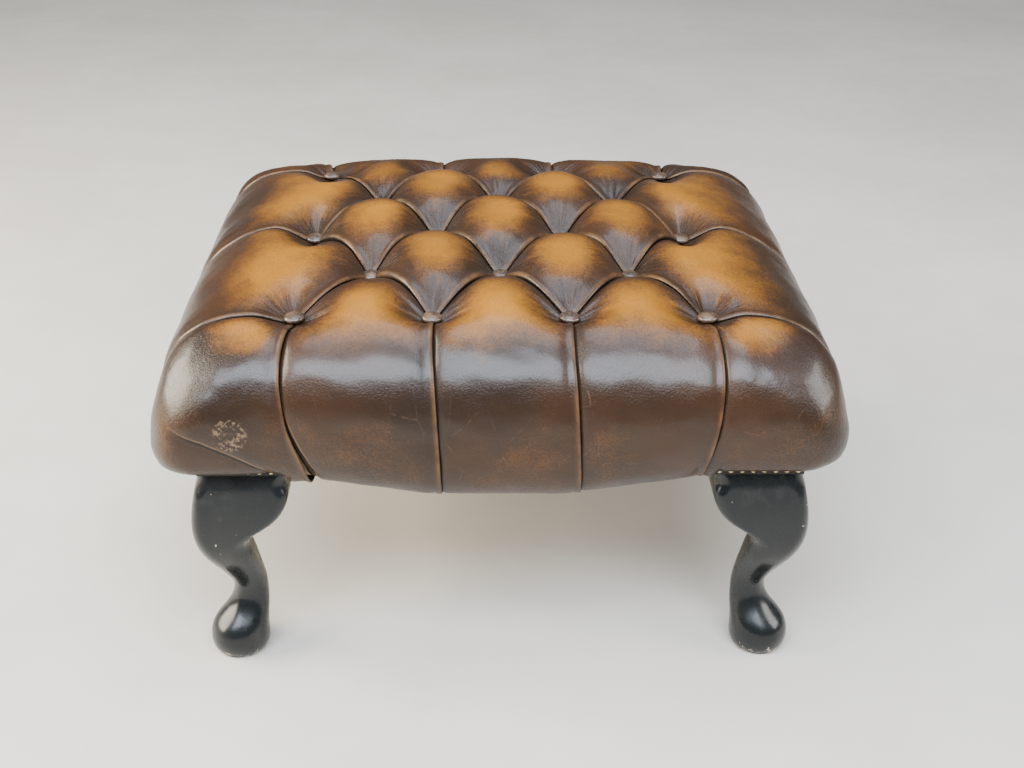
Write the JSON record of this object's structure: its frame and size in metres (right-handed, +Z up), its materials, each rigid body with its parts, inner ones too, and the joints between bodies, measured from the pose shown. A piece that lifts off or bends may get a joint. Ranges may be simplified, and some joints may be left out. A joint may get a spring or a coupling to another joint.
{
  "type": "footstool",
  "caption": "Deep-buttoned leather footstool with a domed pleated seat, leather-covered buttons, and black cabriole legs with pad feet and brass dome nails.",
  "frame": {"origin": "on the floor, under the middle of the seat", "axes": "+Z up, +X to the right-hand side along the longer side, -Y towards the front"},
  "size_m": [0.616, 0.534, 0.346],
  "materials": {
    "rubbed_leather": "antique gold leather rubbed to dark brown, satin, with a fine pebble grain",
    "ebonised_wood": "black gloss lacquer on hardwood, a little chipped",
    "nail_brass": "antique brass",
    "black_band": "black woven band",
    "softwood": "planed pine",
    "plywood": "plywood",
    "zinc_screw": "zinc plated",
    "staple_wire": "bright wire",
    "foam": "upholstery foam",
    "wadding": "polyester fibre",
    "twine": "waxed twine",
    "washer": "moulded",
    "dust_cloth": "black spun cloth"
  },
  "bodies": {
    "root": {"brass_nails_front_left": "nail_brass", "brass_nails_front_right": "nail_brass", "brass_nails_rear_left": "nail_brass", "brass_nails_rear_right": "nail_brass", "button_r1c1": "rubbed_leather", "button_r1c2": "rubbed_leather", "button_r1c3": "rubbed_leather", "button_r1c4": "rubbed_leather", "button_r2c1": "rubbed_leather", "button_r2c2": "rubbed_leather", "button_r2c3": "rubbed_leather", "button_r3c1": "rubbed_leather", "button_r3c2": "rubbed_leather", "button_r3c3": "rubbed_leather", "button_r3c4": "rubbed_leather", "button_r4c1": "rubbed_leather", "button_r4c2": "rubbed_leather", "button_r4c3": "rubbed_leather", "button_r5c1": "rubbed_leather", "button_r5c2": "rubbed_leather", "button_r5c3": "rubbed_leather", "button_r5c4": "rubbed_leather", "button_twines": "twine", "corner_block_front_left": "softwood", "corner_block_front_right": "softwood", "corner_block_rear_left": "softwood", "corner_block_rear_right": "softwood", "corner_block_screws": "zinc_screw", "cross_brace_left": "softwood", "cross_brace_right": "softwood", "deck_screws": "zinc_screw", "dust_cover": "dust_cloth", "dust_cover_staples": "staple_wire", "edge_band_front_left": "black_band", "edge_band_front_right": "black_band", "edge_band_rear_left": "black_band", "edge_band_rear_right": "black_band", "edge_roll_front": "foam", "edge_roll_left": "foam", "edge_roll_rear": "foam", "edge_roll_right": "foam", "fibre_wadding": "wadding", "foam_pad": "foam", "front_rail": "softwood", "leather_cover": "rubbed_leather", "leather_staples": "staple_wire", "left_rail": "softwood", "leg_front_left": "ebonised_wood", "leg_front_right": "ebonised_wood", "leg_rear_left": "ebonised_wood", "leg_rear_right": "ebonised_wood", "rail_dowels": "softwood", "rear_rail": "softwood", "right_rail": "softwood", "seat_deck": "plywood", "twine_washers": "washer"}
  },
  "joints": []
}
